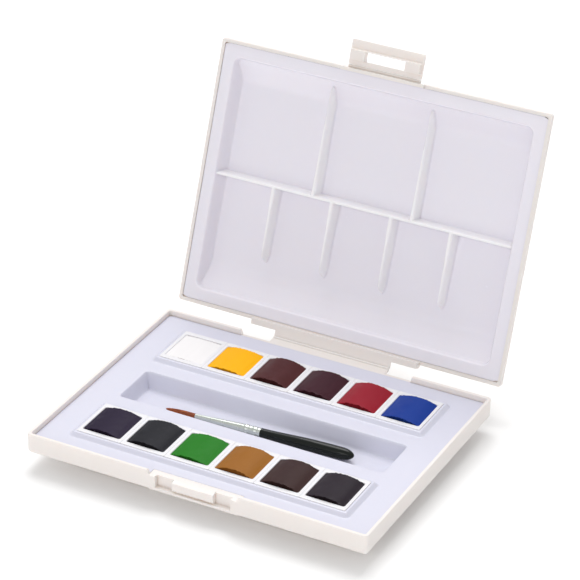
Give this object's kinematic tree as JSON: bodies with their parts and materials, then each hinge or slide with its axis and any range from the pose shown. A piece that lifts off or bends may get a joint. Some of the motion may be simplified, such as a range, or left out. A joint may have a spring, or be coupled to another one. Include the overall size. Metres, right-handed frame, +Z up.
{
  "type": "watercolor pan set",
  "caption": "Hinged plastic watercolour box with removable half pans in rows, a brush trough with a pocket brush, a mixing palette in the lid and a snap latch.",
  "frame": {"origin": "middle of the flat face under the base that the case stands on", "axes": "+X along the pan rows (to the right as the user faces the latch), +Y from the latch to the hinge, +Z up"},
  "size_m": [0.125, 0.1393, 0.1115],
  "materials": {
    "case_plastic": "cream-white injection-moulded polypropylene, satin",
    "insert_plastic": "lilac-white moulded polystyrene, glossy",
    "pan_plastic": "white moulded polystyrene",
    "bristle": "brown hair",
    "nickel": "bright nickel plate",
    "lacquer": "black lacquered wood",
    "paint_chinese_white": "hardened watercolour, glossy skin",
    "paint_warm_yellow": "hardened watercolour, glossy skin",
    "paint_burnt_sienna": "hardened watercolour, glossy skin",
    "paint_alizarin": "hardened watercolour, glossy skin",
    "paint_crimson": "hardened watercolour, glossy skin",
    "paint_ultramarine": "hardened watercolour, glossy skin",
    "paint_indigo": "hardened watercolour, glossy skin",
    "paint_neutral_grey": "hardened watercolour, glossy skin",
    "paint_sap_green": "hardened watercolour, glossy skin",
    "paint_yellow_ochre": "hardened watercolour, glossy skin",
    "paint_burnt_umber": "hardened watercolour, glossy skin",
    "paint_sepia": "hardened watercolour, glossy skin"
  },
  "bodies": {
    "case": {"base_shell": "case_plastic", "colour_tray": "insert_plastic", "hinge_web": "case_plastic"},
    "lid": {"lid_shell": "case_plastic", "latch_web": "case_plastic"},
    "palette": {"mixing_palette": "insert_plastic"},
    "latch": {"latch": "case_plastic"},
    "brush": {"brush_tuft": "bristle", "brush_ferrule": "nickel", "brush_handle": "lacquer"},
    "back_pan_1": {"pan_back_1": "pan_plastic", "paint_chinese_white": "paint_chinese_white"},
    "back_pan_2": {"pan_back_2": "pan_plastic", "paint_warm_yellow": "paint_warm_yellow"},
    "back_pan_3": {"pan_back_3": "pan_plastic", "paint_burnt_sienna": "paint_burnt_sienna"},
    "back_pan_4": {"pan_back_4": "pan_plastic", "paint_alizarin": "paint_alizarin"},
    "back_pan_5": {"pan_back_5": "pan_plastic", "paint_crimson": "paint_crimson"},
    "back_pan_6": {"pan_back_6": "pan_plastic", "paint_ultramarine": "paint_ultramarine"},
    "front_pan_1": {"pan_front_1": "pan_plastic", "paint_indigo": "paint_indigo"},
    "front_pan_2": {"pan_front_2": "pan_plastic", "paint_neutral_grey": "paint_neutral_grey"},
    "front_pan_3": {"pan_front_3": "pan_plastic", "paint_sap_green": "paint_sap_green"},
    "front_pan_4": {"pan_front_4": "pan_plastic", "paint_yellow_ochre": "paint_yellow_ochre"},
    "front_pan_5": {"pan_front_5": "pan_plastic", "paint_burnt_umber": "paint_burnt_umber"},
    "front_pan_6": {"pan_front_6": "pan_plastic", "paint_sepia": "paint_sepia"}
  },
  "joints": [
    {"name": "lid_hinge", "type": "hinge", "parent": "case", "child": "lid", "pos_m": [0, 0.05075, 0.011], "axis": [-1, 0, 0], "range_deg": [-110, 70]},
    {"name": "latch_hinge", "type": "hinge", "parent": "lid", "child": "latch", "pos_m": [0, 0.08685, 0.10274], "axis": [-1, 0, 0], "range_deg": [-90, 0]},
    {"name": "palette_lift", "type": "slide", "parent": "lid", "child": "palette", "axis": [0, -0.9397, 0.342], "range_m": [0, 0.012]},
    {"name": "brush_lift", "type": "slide", "parent": "case", "child": "brush", "axis": [0, 0, 1], "range_m": [0, 0.03]},
    {"name": "back_pan_1_lift", "type": "slide", "parent": "case", "child": "back_pan_1", "axis": [0, 0, 1], "range_m": [0, 0.012]},
    {"name": "back_pan_2_lift", "type": "slide", "parent": "case", "child": "back_pan_2", "axis": [0, 0, 1], "range_m": [0, 0.012]},
    {"name": "back_pan_3_lift", "type": "slide", "parent": "case", "child": "back_pan_3", "axis": [0, 0, 1], "range_m": [0, 0.012]},
    {"name": "back_pan_4_lift", "type": "slide", "parent": "case", "child": "back_pan_4", "axis": [0, 0, 1], "range_m": [0, 0.012]},
    {"name": "back_pan_5_lift", "type": "slide", "parent": "case", "child": "back_pan_5", "axis": [0, 0, 1], "range_m": [0, 0.012]},
    {"name": "back_pan_6_lift", "type": "slide", "parent": "case", "child": "back_pan_6", "axis": [0, 0, 1], "range_m": [0, 0.012]},
    {"name": "front_pan_1_lift", "type": "slide", "parent": "case", "child": "front_pan_1", "axis": [0, 0, 1], "range_m": [0, 0.012]},
    {"name": "front_pan_2_lift", "type": "slide", "parent": "case", "child": "front_pan_2", "axis": [0, 0, 1], "range_m": [0, 0.012]},
    {"name": "front_pan_3_lift", "type": "slide", "parent": "case", "child": "front_pan_3", "axis": [0, 0, 1], "range_m": [0, 0.012]},
    {"name": "front_pan_4_lift", "type": "slide", "parent": "case", "child": "front_pan_4", "axis": [0, 0, 1], "range_m": [0, 0.012]},
    {"name": "front_pan_5_lift", "type": "slide", "parent": "case", "child": "front_pan_5", "axis": [0, 0, 1], "range_m": [0, 0.012]},
    {"name": "front_pan_6_lift", "type": "slide", "parent": "case", "child": "front_pan_6", "axis": [0, 0, 1], "range_m": [0, 0.012]}
  ]
}
